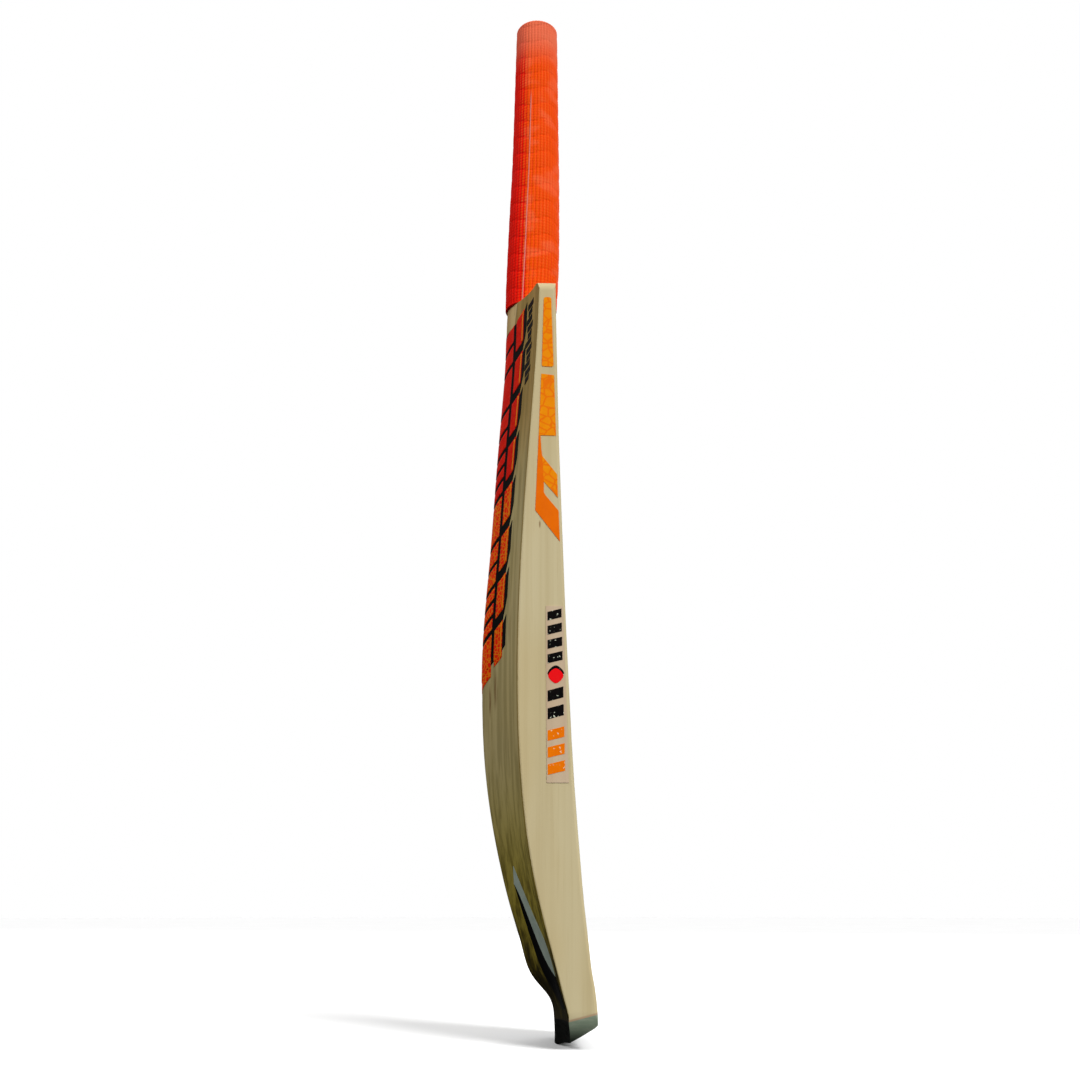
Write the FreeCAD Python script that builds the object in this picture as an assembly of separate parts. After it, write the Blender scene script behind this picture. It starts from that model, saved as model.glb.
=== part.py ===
import FreeCAD, Part
import math
import os

# Cricket bat, adult short-handle size, in millimetres.
# +Z runs up the handle from the toe, +Y is the way the hitting face looks, and +X is the bat's
# right edge when it is seen from the back. Depths are first measured from the upper handle's
# middle, and the finished bat is then centred over its own outline.

os.makedirs("parts", exist_ok=True)
Vector = FreeCAD.Vector
ALONG_X = Vector(1, 0, 0)
ALONG_Y = Vector(0, 1, 0)
ALONG_Z = Vector(0, 0, 1)

# Overall sizes
OVERALL_HEIGHT = 835.0
SHOULDER_HEIGHT = 560.0
HALF_WIDTH = 54.0
REACH = 120.0
OVERLAP = 10.0
SMALL = 0.01

# Blade: (height, depth of the face beside the edge, edge thickness, depth of the spine)
BLADE_STATIONS = [
    (-8.0, 37.6, 16.8, 10.4),
    (2.0, 36.9, 17.4, 10.3),
    (12.0, 36.2, 18.3, 10.1),
    (20.0, 36.2, 19.8, 9.6),
    (27.0, 35.8, 21.1, 8.0),
    (34.0, 35.1, 22.4, 3.4),
    (41.0, 34.1, 23.2, -3.0),
    (48.0, 32.8, 23.8, -7.6),
    (62.0, 31.2, 26.0, -12.2),
    (88.0, 28.3, 30.0, -20.2),
    (116.0, 25.9, 33.8, -27.7),
    (150.0, 23.4, 36.4, -34.8),
    (190.0, 20.9, 37.4, -40.3),
    (235.0, 18.9, 37.0, -42.8),
    (290.0, 16.7, 34.5, -42.2),
    (350.0, 14.8, 30.2, -37.9),
    (410.0, 12.9, 24.5, -34.2),
    (470.0, 11.6, 18.9, -30.1),
    (520.0, 10.9, 15.2, -27.2),
    (570.0, 10.6, 13.4, -25.2),
]
FACE_CROWN = 1.4
FACE_CORNER_RADIUS = 2.0
BACK_CORNER_RADIUS = 1.8
# Hollow of the back: (distance from the middle, share of the spine's rise above the edge)
BACK_HOLLOW = [(42.0, 0.11), (33.0, 0.25), (22.0, 0.49), (11.0, 0.81), (4.0, 0.97)]

# Toe and shoulder outlines
TOE_CORNER_RADIUS = 22.0
TOE_CORNER_HEIGHT = 24.0
TOE_CORNER_TURN = 80.0
SHOULDER_RADIUS = 10.0
SHOULDER_CORNER_HEIGHT = 550.0
SHOULDER_TURN = 80.0
NECK_HALF_WIDTH = 21.0
TOE_FACE_RADIUS = 8.5
TOE_FACE_CENTRE = (29.2, 21.0)
TOE_FACE_TURN = 60.0
TOE_HEEL = (11.6, 0.0)
TOE_BACK = (9.6, 1.4)
HEEL_ROUND = 0.5
HEEL_GROWTH = 0.7

# Toe guard
GUARD_WALL = 1.6
GUARD_EDGE_HEIGHT = 18.0
GUARD_EDGE_DEPTH = 17.0
GUARD_SLOPE = 0.25

# Handle outside the grip: (height, depth of its middle, half depth, half width)
HANDLE_STATIONS = [
    (560.0, -7.2, 20.9, 19.0),
    (580.0, -6.5, 21.5, 18.8),
    (608.0, -5.5, 21.6, 18.6),
    (646.0, -4.6, 21.1, 18.2),
    (685.0, -3.7, 20.3, 17.8),
    (725.0, -3.3, 19.5, 17.5),
    (765.0, -3.0, 18.9, 17.3),
    (806.0, -2.7, 18.3, 17.1),
    (835.0, -2.5, 17.8, 17.0),
]
GRIP_THICKNESS = 2.2
TWINE_THICKNESS = 0.8
GRIP_LIP = 2.5
GRIP_OPENING_RADIUS = 9.0
GRIP_TOP_ROUND = 2.4
CANE_TOP = OVERALL_HEIGHT - GRIP_LIP

# Splice and the cane strips it is laid up from
SPLICE_TIP_HEIGHT = 425.0
SPLICE_TIP_HALF_WIDTH = 2.5
SPLICE_TOP_HALF_WIDTH = 16.0
CANE_ROWS = ["face", "front", "rear", "spine"]
CANE_ROW_JOINTS = [4.5, -3.0, -10.5]
CANE_COLUMNS = ["left", "centre", "right"]
CANE_COLUMN_JOINT = 5.0
SPRING_NAMES = ["spring_front", "spring_middle", "spring_rear"]
SPRING_THICKNESS = 1.6
SPRING_FOOT = 590.0

# Printed labels, and how deep those on the back are traced
LABEL_THICKNESS = 0.3
UPPER_TRACE_DEPTH = 0.0
TOE_TRACE_DEPTH = 21.0
# Edge labels as (depth, height) corners on the flat of the edge
UPPER_BAR = [(1.2, 543.6), (6.9, 543.6), (8.6, 484.8), (-0.4, 485.0)]
UPPER_BAR_CORNER = 1.5
LOWER_BAR = [(-0.8, 478.9), (8.9, 477.8), (10.2, 428.5), (-2.7, 428.7)]
SLASH = [
    (-2.7, 428.7),
    (-1.4, 428.7),
    (-0.7, 416.8),
    (0.0, 412.2),
    (1.1, 392.1),
    (1.1, 383.7),
    (2.2, 381.5),
    (11.9, 369.4),
    (12.6, 346.0),
    (-5.2, 369.8),
]
INSET = [(0.0, 412.2), (11.0, 397.6), (11.4, 379.6), (1.1, 392.1)]
FILM = [(2.4, 297.5), (14.7, 297.5), (18.2, 172.3), (2.8, 172.3)]

# Spine label as (distance from the middle, height): a row of slanted steps
SPINE_LABEL_TOP = 553.0
SPINE_LABEL_STEPS = 8
SPINE_LABEL_PITCH = 36.5
SPINE_LABEL_WIDE = 29.0
SPINE_LABEL_NARROW = 23.0
SPINE_LABEL_SLANT = 9.0
SPINE_LABEL_CUT = 13.5

# Short strokes on the right flank
STROKE_COUNT = 11
STROKE_TOP = 551.0
STROKE_PITCH = 6.4
STROKE_INNER = 31.0
STROKE_LENGTH = 8.5
STROKE_HEIGHT = 4.8
STROKE_RISE = 2.2
STROKE_WOBBLE = 1.4
STROKE_BEAT = 2.1

# Two-tone flash beside the toe as (distance from the middle, height)
FLASH_APEX = (20.0, 118.0)
FLASH_OUTER = [(27.5, 98.0), (35.0, 82.0), (44.5, 66.0)]
FLASH_TIP = (47.5, 46.0)
FLASH_SEAM = [(36.0, 54.0), (25.5, 78.0)]
FLASH_SEAM_TOP = (16.5, 106.0)
FLASH_FOOT = (49.0, 26.0)
FLASH_FOOT_INNER = (35.0, 25.0)
FLASH_INNER = [(24.0, 46.0), (19.0, 76.0)]


def arc(start, middle, end):
    return Part.Arc(start, middle, end).toShape()


def line(start, end):
    return Part.LineSegment(start, end).toShape()


def blade_section(height, face, thickness, spine, grow):
    """One level cross-section of the blade, each side moved outwards by grow."""
    half = HALF_WIDTH + grow
    front = face + grow
    back = face - thickness - grow
    rise = back - (spine - grow)
    slip = 1.0 - math.sqrt(0.5)

    def point(across, depth):
        return Vector(across, depth, height)

    def corner(side, depth, radius, inward):
        """The middle of a rounded corner of the edge."""
        return point(side * (half - slip * radius), depth + inward * slip * radius)

    face_start = half - FACE_CORNER_RADIUS
    back_start = half - BACK_CORNER_RADIUS
    face_right = point(face_start, front)
    face_left = point(-face_start, front)
    edge_top_right = point(half, front - FACE_CORNER_RADIUS)
    edge_top_left = point(-half, front - FACE_CORNER_RADIUS)
    edge_low_right = point(half, back + BACK_CORNER_RADIUS)
    edge_low_left = point(-half, back + BACK_CORNER_RADIUS)
    back_right = point(back_start, back)
    back_left = point(-back_start, back)

    right_flank = [point(across, back - share * rise) for across, share in BACK_HOLLOW]
    left_flank = [Vector(-p.x, p.y, p.z) for p in reversed(right_flank)]
    spine_point = point(0, back - rise)
    flank_points = [back_right] + right_flank + [spine_point] + left_flank + [back_left]
    flank = Part.BSplineCurve()
    flank.interpolate(Points=flank_points, Parameters=[half - p.x for p in flank_points])

    return Part.Wire([
        arc(face_left, point(0, front + FACE_CROWN), face_right),
        arc(face_right, corner(1, front, FACE_CORNER_RADIUS, -1), edge_top_right),
        line(edge_top_right, edge_low_right),
        arc(edge_low_right, corner(1, back, BACK_CORNER_RADIUS, 1), back_right),
        flank.toShape(),
        arc(back_left, corner(-1, back, BACK_CORNER_RADIUS, 1), edge_low_left),
        line(edge_low_left, edge_top_left),
        arc(edge_top_left, corner(-1, front, FACE_CORNER_RADIUS, -1), face_left),
    ])


def front_outline(grow):
    """The blade's outline seen from the front, as a prism through its depth."""
    def point(across, height):
        return Vector(across, -REACH, height)

    def on_circle(centre, radius, degrees, side):
        turn = math.radians(degrees)
        across = centre[0] + radius * math.cos(turn)
        return point(side * across, centre[1] + radius * math.sin(turn))

    half = HALF_WIDTH + grow
    toe_radius = TOE_CORNER_RADIUS + grow
    toe_centre = (HALF_WIDTH - TOE_CORNER_RADIUS, TOE_CORNER_HEIGHT)
    top_radius = SHOULDER_RADIUS + grow
    top_centre = (HALF_WIDTH - SHOULDER_RADIUS, SHOULDER_CORNER_HEIGHT)

    edges = []
    toe_ends = {}
    top_ends = {}
    for side in (1, -1):
        toe_ends[side] = on_circle(toe_centre, toe_radius, -TOE_CORNER_TURN, side)
        top_ends[side] = on_circle(top_centre, top_radius, SHOULDER_TURN, side)
        toe_side = point(side * half, TOE_CORNER_HEIGHT)
        top_side = point(side * half, SHOULDER_CORNER_HEIGHT)
        toe_middle = on_circle(toe_centre, toe_radius, -TOE_CORNER_TURN / 2, side)
        top_middle = on_circle(top_centre, top_radius, SHOULDER_TURN / 2, side)
        neck = point(side * NECK_HALF_WIDTH, SHOULDER_HEIGHT)
        edges.append(arc(toe_ends[side], toe_middle, toe_side))
        edges.append(line(toe_side, top_side))
        edges.append(arc(top_side, top_middle, top_ends[side]))
        edges.append(line(top_ends[side], neck))
    edges.append(line(point(NECK_HALF_WIDTH, SHOULDER_HEIGHT), point(-NECK_HALF_WIDTH, SHOULDER_HEIGHT)))
    edges.append(arc(toe_ends[1], point(0, -grow), toe_ends[-1]))
    wire = Part.Wire(Part.__sortEdges__(edges))
    return Part.Face(wire).extrude(ALONG_Y * (2 * REACH))


def side_outline(grow):
    """The toe's outline seen from the edge, as a prism across the width."""
    def point(depth, height):
        return Vector(-REACH, depth, height)

    def on_face_round(degrees):
        turn = math.radians(degrees)
        radius = TOE_FACE_RADIUS + grow
        depth = TOE_FACE_CENTRE[0] + radius * math.cos(turn)
        return point(depth, TOE_FACE_CENTRE[1] + radius * math.sin(turn))

    face_end = on_face_round(0)
    sole_front = on_face_round(-TOE_FACE_TURN)
    sole_back = point(TOE_HEEL[0], TOE_HEEL[1] - grow)
    back_end = point(TOE_BACK[0] - grow, TOE_BACK[1] - grow)
    heel_shift = HEEL_ROUND - HEEL_GROWTH * grow
    heel = point(TOE_BACK[0] + heel_shift, TOE_HEEL[1] + heel_shift)
    corners = [
        back_end,
        point(-REACH, TOE_BACK[1] - grow),
        point(-REACH, OVERALL_HEIGHT),
        point(REACH, OVERALL_HEIGHT),
        point(REACH, TOE_FACE_CENTRE[1]),
        face_end,
    ]
    edges = [line(start, end) for start, end in zip(corners, corners[1:])]
    edges.append(arc(face_end, on_face_round(-TOE_FACE_TURN / 2), sole_front))
    edges.append(line(sole_front, sole_back))
    edges.append(arc(sole_back, heel, back_end))
    return Part.Face(Part.Wire(edges)).extrude(ALONG_X * (2 * REACH))


def blade_form(grow=0.0):
    """The blade as one outer shape, before the splice is cut into it."""
    sections = [blade_section(*station, grow) for station in BLADE_STATIONS]
    body = Part.makeLoft(sections, True, False)
    return body.common(side_outline(grow)).common(front_outline(grow))


def oval(height, centre, half_depth, half_width):
    ellipse = Part.Ellipse(Vector(0, 0, 0), half_depth, half_width).toShape()
    ellipse.rotate(Vector(0, 0, 0), ALONG_Z, 90)
    ellipse.translate(Vector(0, centre, height))
    return Part.Wire([ellipse])


def handle_form(inset, top):
    """The handle's oval shape, each side moved inwards by inset."""
    sections = []
    for height, centre, half_depth, half_width in HANDLE_STATIONS:
        sections.append(oval(min(height, top), centre, half_depth - inset, half_width - inset))
    return Part.makeLoft(sections, True, False)


def splice_wedge():
    """The tapering slot in the top of the blade."""
    slope = (SPLICE_TOP_HALF_WIDTH - SPLICE_TIP_HALF_WIDTH) / (SHOULDER_HEIGHT - SPLICE_TIP_HEIGHT)
    top = SHOULDER_HEIGHT + OVERLAP
    top_half = SPLICE_TOP_HALF_WIDTH + slope * OVERLAP
    corners = [
        Vector(-SPLICE_TIP_HALF_WIDTH, -REACH, SPLICE_TIP_HEIGHT),
        Vector(SPLICE_TIP_HALF_WIDTH, -REACH, SPLICE_TIP_HEIGHT),
        Vector(top_half, -REACH, top),
        Vector(-top_half, -REACH, top),
    ]
    outline = Part.makePolygon(corners + corners[:1])
    return Part.Face(outline).extrude(ALONG_Y * (2 * REACH))


def box_between(x_low, x_high, y_low, y_high, z_low, z_high):
    corner = Vector(x_low, y_low, z_low)
    return Part.makeBox(x_high - x_low, y_high - y_low, z_high - z_low, corner)


def spring_box(depth):
    half = SPRING_THICKNESS / 2
    return box_between(-REACH, REACH, depth - half, depth + half, SPRING_FOOT, OVERALL_HEIGHT)


def cane_strips(cane):
    """The cane laid up as rows from face to spine, each of three strips side by side."""
    strips = {}
    row_limits = [REACH] + CANE_ROW_JOINTS + [-REACH]
    column_limits = [-REACH, -CANE_COLUMN_JOINT, CANE_COLUMN_JOINT, REACH]
    for row, name in enumerate(CANE_ROWS):
        for column, side in enumerate(CANE_COLUMNS):
            strip_box = box_between(
                column_limits[column], column_limits[column + 1],
                row_limits[row + 1], row_limits[row],
                SPLICE_TIP_HEIGHT - OVERLAP, OVERALL_HEIGHT,
            )
            strips["cane_" + name + "_" + side] = cane.common(strip_box)
    return strips


def make_handle(form, wedge):
    core = handle_form(GRIP_THICKNESS + TWINE_THICKNESS, CANE_TOP)
    cane = form.common(wedge).fuse(core)
    springs = {}
    for name, depth in zip(SPRING_NAMES, CANE_ROW_JOINTS):
        springs[name] = core.common(spring_box(depth))
        cane = cane.cut(spring_box(depth))
    pieces = cane_strips(cane)
    pieces.update(springs)
    wound = handle_form(GRIP_THICKNESS, CANE_TOP)
    pieces["twine_binding"] = wound.cut(core)
    pieces["grip"] = make_grip(wound)
    return pieces


def make_grip(wound):
    """The rubber sleeve, turned in over the end of the handle."""
    sleeve = handle_form(0.0, OVERALL_HEIGHT)
    rim = [e for e in sleeve.Edges if e.BoundBox.ZMin > OVERALL_HEIGHT - SMALL]
    sleeve = sleeve.makeFillet(GRIP_TOP_ROUND, rim)
    end_middle = Vector(0, HANDLE_STATIONS[-1][1], CANE_TOP)
    opening = Part.makeCylinder(GRIP_OPENING_RADIUS, OVERLAP, end_middle)
    return sleeve.cut(wound).cut(opening)


def guard_region():
    """Everything below the sloping top line of the toe guard."""
    def point(depth, height):
        return Vector(-REACH, depth, height)

    def top(depth):
        return point(depth, GUARD_EDGE_HEIGHT + GUARD_SLOPE * (depth - GUARD_EDGE_DEPTH))

    corners = [point(-REACH, -REACH), point(REACH, -REACH), top(REACH), top(-REACH)]
    outline = Part.makePolygon(corners + corners[:1])
    return Part.Face(outline).extrude(ALONG_X * (2 * REACH))


def edge_label(corners, side):
    """A flat label on one edge; side is +1 for the right edge and -1 for the left."""
    points = [Vector(HALF_WIDTH, depth, height) for depth, height in corners]
    label = Part.Face(Part.makePolygon(points + points[:1])).extrude(ALONG_X * LABEL_THICKNESS)
    if side < 0:
        label = label.mirror(Vector(0, 0, 0), ALONG_X)
    return label


def rounded_edge_label(corners, radius, side):
    label = edge_label(corners, side)
    upright = [e for e in label.Edges if abs(e.BoundBox.XLength - LABEL_THICKNESS) < SMALL]
    return label.makeFillet(radius, upright)


def back_prism(outline_edges, depth):
    """A prism from behind the bat to the given depth, from an outline drawn on the back."""
    wire = Part.Wire(outline_edges)
    return Part.Face(wire).extrude(ALONG_Y * (REACH + depth))


def back_point(across, height):
    return Vector(across, -REACH, height)


def polygon_edges(points):
    corners = [back_point(*p) for p in points]
    return Part.makePolygon(corners + corners[:1]).Edges


def curve(points):
    spline = Part.BSplineCurve()
    spline.interpolate([back_point(*p) for p in points])
    return spline.toShape()


def spine_label_outline():
    """Steps down both sides of the spine, each slanting in and then out again."""
    right = []
    for step in range(SPINE_LABEL_STEPS):
        top = SPINE_LABEL_TOP - step * SPINE_LABEL_PITCH
        right.append((SPINE_LABEL_NARROW, top - SPINE_LABEL_SLANT))
        right.append((SPINE_LABEL_WIDE, top))
        right.append((SPINE_LABEL_WIDE, top - SPINE_LABEL_PITCH + SPINE_LABEL_CUT))
    foot = SPINE_LABEL_TOP - SPINE_LABEL_STEPS * SPINE_LABEL_PITCH
    right.append((0.0, foot - SPINE_LABEL_SLANT))
    left = [(-across, height) for across, height in reversed(right[:-1])]
    return polygon_edges(right + left + [(0.0, SPINE_LABEL_TOP - 2 * SPINE_LABEL_SLANT)])


def stroke_marks():
    marks = []
    for count in range(STROKE_COUNT):
        top = STROKE_TOP - count * STROKE_PITCH
        inner = STROKE_INNER + STROKE_WOBBLE * math.sin(STROKE_BEAT * count)
        outer = STROKE_INNER + STROKE_LENGTH + STROKE_WOBBLE * math.cos(STROKE_BEAT * count)
        outline = polygon_edges([
            (inner, top - STROKE_RISE),
            (outer, top),
            (outer, top - STROKE_HEIGHT),
            (inner, top - STROKE_RISE - STROKE_HEIGHT),
        ])
        marks.append(back_prism(outline, UPPER_TRACE_DEPTH))
    return marks


def flash_outlines():
    """The light and the dark part of the right flash, which meet along one curve."""
    seam = curve([FLASH_TIP] + FLASH_SEAM + [FLASH_SEAM_TOP])
    light = [
        curve([FLASH_APEX] + FLASH_OUTER + [FLASH_TIP]),
        seam,
        line(back_point(*FLASH_SEAM_TOP), back_point(*FLASH_APEX)),
    ]
    dark = [
        seam,
        curve([FLASH_SEAM_TOP] + list(reversed(FLASH_INNER)) + [FLASH_FOOT_INNER]),
        line(back_point(*FLASH_FOOT_INNER), back_point(*FLASH_FOOT)),
        line(back_point(*FLASH_FOOT), back_point(*FLASH_TIP)),
    ]
    return light, dark


def make_labels(form):
    skin_form = blade_form(LABEL_THICKNESS)

    def on_back(prism):
        return skin_form.common(prism).cut(form)

    labels = {}
    labels["spine_label"] = on_back(back_prism(spine_label_outline(), UPPER_TRACE_DEPTH))
    labels["flank_strokes"] = Part.makeCompound([on_back(mark) for mark in stroke_marks()])
    light, dark = flash_outlines()
    flashes = {"flash_silver": light, "flash_black": dark}
    for name, outline in flashes.items():
        label = on_back(back_prism(outline, TOE_TRACE_DEPTH))
        labels[name + "_right"] = label
        labels[name + "_left"] = label.mirror(Vector(0, 0, 0), ALONG_X)
    for side, end in ((1, "_right"), (-1, "_left")):
        labels["edge_bar_upper" + end] = rounded_edge_label(UPPER_BAR, UPPER_BAR_CORNER, side)
        labels["edge_bar_lower" + end] = edge_label(LOWER_BAR, side)
        labels["edge_slash" + end] = edge_label(SLASH, side)
        labels["edge_inset" + end] = edge_label(INSET, side)
        labels["edge_film" + end] = edge_label(FILM, side)
    return labels


def make_bat():
    form = blade_form()
    wedge = splice_wedge()
    low = form.common(guard_region())
    guard = low.cut(blade_form(-GUARD_WALL))
    pieces = {"blade": form.cut(wedge).cut(guard), "toe_guard": guard}
    pieces.update(make_handle(form, wedge))
    pieces.update(make_labels(form))
    return pieces


def centring_move(pieces):
    """The move that sets the bat's outline over the origin, standing on its toe."""
    box = Part.makeCompound(list(pieces.values())).optimalBoundingBox(False, False)
    return Vector(-box.Center.x, -box.Center.y, -box.ZMin)


bat = make_bat()
move = centring_move(bat)
for name, shape in bat.items():
    shape.translate(move)
    shape.exportStep("parts/" + name + ".step")
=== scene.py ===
import math

import bmesh
import bpy
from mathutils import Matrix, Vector
from mathutils.bvhtree import BVHTree


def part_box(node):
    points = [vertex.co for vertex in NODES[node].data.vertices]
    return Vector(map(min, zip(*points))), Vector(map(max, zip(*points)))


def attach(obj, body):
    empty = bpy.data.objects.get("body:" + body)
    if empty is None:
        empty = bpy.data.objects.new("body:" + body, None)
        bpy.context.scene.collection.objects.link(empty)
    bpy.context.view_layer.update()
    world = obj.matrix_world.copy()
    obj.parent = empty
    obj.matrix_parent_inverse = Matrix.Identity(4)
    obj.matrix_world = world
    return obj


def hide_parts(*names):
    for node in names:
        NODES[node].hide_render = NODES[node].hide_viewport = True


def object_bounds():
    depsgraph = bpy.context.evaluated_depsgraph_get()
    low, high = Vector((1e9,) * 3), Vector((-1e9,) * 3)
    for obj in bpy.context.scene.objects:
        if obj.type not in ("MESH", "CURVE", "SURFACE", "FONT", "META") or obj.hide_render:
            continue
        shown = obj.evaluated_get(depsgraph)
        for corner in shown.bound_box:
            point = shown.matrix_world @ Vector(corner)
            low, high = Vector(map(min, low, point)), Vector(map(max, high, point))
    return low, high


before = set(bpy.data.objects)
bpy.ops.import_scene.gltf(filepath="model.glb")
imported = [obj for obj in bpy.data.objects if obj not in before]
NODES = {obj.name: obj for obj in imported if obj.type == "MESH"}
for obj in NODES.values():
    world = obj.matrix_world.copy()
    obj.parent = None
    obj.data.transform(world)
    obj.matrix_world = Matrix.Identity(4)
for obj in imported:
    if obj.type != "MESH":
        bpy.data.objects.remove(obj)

# A cricket bat standing on its toe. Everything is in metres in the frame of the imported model:
# +Z up the handle, +Y the way the hitting face looks, +X the bat's right edge.

CAD_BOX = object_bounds()
MM = 0.001

BLADE_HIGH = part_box("blade")[1]
GRIP_LOW, GRIP_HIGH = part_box("grip")
SPLICE_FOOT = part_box("cane_face_centre")[0].z
SPLICE_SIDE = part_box("cane_face_right")[1].x
LABEL_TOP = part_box("spine_label")[1].z
FILM_LOW, FILM_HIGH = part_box("edge_film_right")
GUARD_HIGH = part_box("toe_guard")[1]
HANDLE_DEPTH = (GRIP_LOW.y + GRIP_HIGH.y) / 2
GROUND = CAD_BOX[0].z


# ---------------------------------------------------------------- node helpers

# Depth part of a surface's normal where it starts to count as the back, and where it fully does
BACK_NORMALS = (-0.35, -0.80)


class Shader:
    """A material's node tree, with one short call for each kind of node it needs."""

    def __init__(self, name):
        self.material = bpy.data.materials.new(name)
        self.material.use_nodes = True
        self.tree = self.material.node_tree
        self.surface = self.tree.nodes["Principled BSDF"]
        coords = self.tree.nodes.new("ShaderNodeTexCoord")
        self.place = coords.outputs["Object"]

    def put(self, socket, value):
        if isinstance(value, bpy.types.NodeSocket):
            self.tree.links.new(value, socket)
        elif value is not None:
            socket.default_value = value

    def set(self, **values):
        """Sets the surface's own sockets; an underscore in a name stands for a space."""
        for name, value in values.items():
            self.put(self.surface.inputs[name.replace("_", " ")], value)

    def math(self, operation, first, second=None, third=None, clamp=False):
        node = self.tree.nodes.new("ShaderNodeMath")
        node.operation = operation
        node.use_clamp = clamp
        for socket, value in zip(node.inputs, (first, second, third)):
            self.put(socket, value)
        return node.outputs[0]

    def split(self, vector):
        node = self.tree.nodes.new("ShaderNodeSeparateXYZ")
        self.put(node.inputs[0], vector)
        return list(node.outputs)

    def join(self, x, y, z):
        node = self.tree.nodes.new("ShaderNodeCombineXYZ")
        for socket, value in zip(node.inputs, (x, y, z)):
            self.put(socket, value)
        return node.outputs[0]

    def stretch(self, scale, offset=(0, 0, 0)):
        """The place on the bat, scaled along each axis and then moved."""
        node = self.tree.nodes.new("ShaderNodeMapping")
        self.put(node.inputs["Vector"], self.place)
        node.inputs["Scale"].default_value = scale
        node.inputs["Location"].default_value = offset
        return node.outputs[0]

    def noise(self, vector, scale=1.0, detail=3.0, roughness=0.5):
        node = self.tree.nodes.new("ShaderNodeTexNoise")
        self.put(node.inputs["Vector"], vector)
        node.inputs["Scale"].default_value = scale
        node.inputs["Detail"].default_value = detail
        node.inputs["Roughness"].default_value = roughness
        return node.outputs[0]

    def grain(self, across, along, detail=3.0, roughness=0.5):
        """Noise with its own fineness across the bat and along its height, in cells per metre."""
        return self.noise(self.stretch((across, across, along)), 1.0, detail, roughness)

    def cracks(self, vector, scale):
        """Distance to the nearest border of a net of cells."""
        node = self.tree.nodes.new("ShaderNodeTexVoronoi")
        node.feature = "DISTANCE_TO_EDGE"
        self.put(node.inputs["Vector"], vector)
        node.inputs["Scale"].default_value = scale
        return node.outputs["Distance"]

    def ramp(self, value, *stops):
        """A curve through (position, brightness) stops."""
        node = self.tree.nodes.new("ShaderNodeValToRGB")
        self.put(node.inputs[0], value)
        elements = node.color_ramp.elements
        while len(elements) < len(stops):
            elements.new(0.5)
        for element, (position, grey) in zip(elements, stops):
            element.position = position
            element.color = (grey, grey, grey, 1.0)
        return node.outputs["Color"]

    def smooth(self, value, low, high, start=0.0, end=1.0):
        """Turns softly from start, where the value is low, to end, where it is high."""
        node = self.tree.nodes.new("ShaderNodeMapRange")
        node.interpolation_type = "SMOOTHSTEP"
        for socket, number in zip(node.inputs, (value, low, high, start, end)):
            self.put(socket, number)
        return node.outputs[0]

    def vertex_value(self, name):
        """A number kept on the mesh's own points, which is 0 where a mesh has none."""
        node = self.tree.nodes.new("ShaderNodeAttribute")
        node.attribute_name = name
        return node.outputs["Fac"]

    def facing_back(self):
        """1 on surfaces that look to the rear, 0 on the edges and the face."""
        node = self.tree.nodes.new("ShaderNodeNewGeometry")
        y = self.split(node.outputs["Normal"])[1]
        return self.smooth(y, *BACK_NORMALS)

    def mix(self, share, first, second):
        """The first colour with a share of the second in it."""
        node = self.tree.nodes.new("ShaderNodeMix")
        node.data_type = "RGBA"
        self.put(node.inputs[0], share)
        for socket, value in ((node.inputs[6], first), (node.inputs[7], second)):
            self.put(socket, (*value, 1.0) if isinstance(value, tuple) else value)
        return node.outputs[2]

    def bump(self, height, distance, strength):
        node = self.tree.nodes.new("ShaderNodeBump")
        node.inputs["Strength"].default_value = strength
        node.inputs["Distance"].default_value = distance
        self.put(node.inputs["Height"], height)
        return node.outputs[0]


def cover(node, material):
    """Gives a CAD node's every material slot one material."""
    for slot in NODES[node].material_slots:
        slot.material = material


# ---------------------------------------------------------------- materials

WILLOW_PALE = (0.535, 0.460, 0.275)
WILLOW_WARM = (0.505, 0.410, 0.220)
WILLOW_LINE = (0.380, 0.290, 0.135)
# Painted shade tints for the back: olive, yellow and brown
WILLOW_SHADE_OLIVE = (0.440, 0.345, 0.110)
WILLOW_SHADE_YELLOW = (0.440, 0.350, 0.018)
WILLOW_SHADE_BROWN = (0.360, 0.215, 0.050)
# Painted shade along the back's outer rims
WILLOW_RIM_SHADE = (0.200, 0.115, 0.012)
# Painted shade in streaks on the back, darkest beside the toe
WILLOW_STREAK_SHADE = (0.100, 0.074, 0.006)
# Nearly black painted shade on the back of the toe
WILLOW_TOE_SHADE = (0.010, 0.007, 0.002)
GLUE_BROWN = (0.16, 0.09, 0.035)
GUARD_LINE_TAN = (0.36, 0.22, 0.14)
FLECK_BROWN = (0.17, 0.085, 0.022)

# Between these two numbers lie nearly all values of a noise
NOISE_SPAN = (0.3, 0.7)
RING_SPACING = 8.5 * MM
RING_SLOPE = 0.35
RING_LONG_WAVE = 22 * MM
RING_FINE_WAVE = 2.5 * MM
# Through one ring: (place in the ring, darkness of the late wood)
RING_STOPS = ((0.0, 0.55), (0.10, 0.12), (0.55, 0.0), (0.90, 0.35), (1.0, 0.55))
LATE_WOOD_SHARE = 0.32
STREAK_SHARE = 0.25
FIBRE_SHARE = 0.24
WILLOW_ROUGHNESS = (0.44, 0.60)
WILLOW_SPECULAR = 0.12
LATE_WOOD_RELIEF = 0.4
SPLICE_FOOT_HALF = 2.5 * MM
SPLICE_LINE = (0.15 * MM, 0.45 * MM)
GUARD_LINE = (0.7 * MM, 1.8 * MM)
GUARD_LINE_SLOPE = 0.25
LINE_SHARE = 0.75
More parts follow.
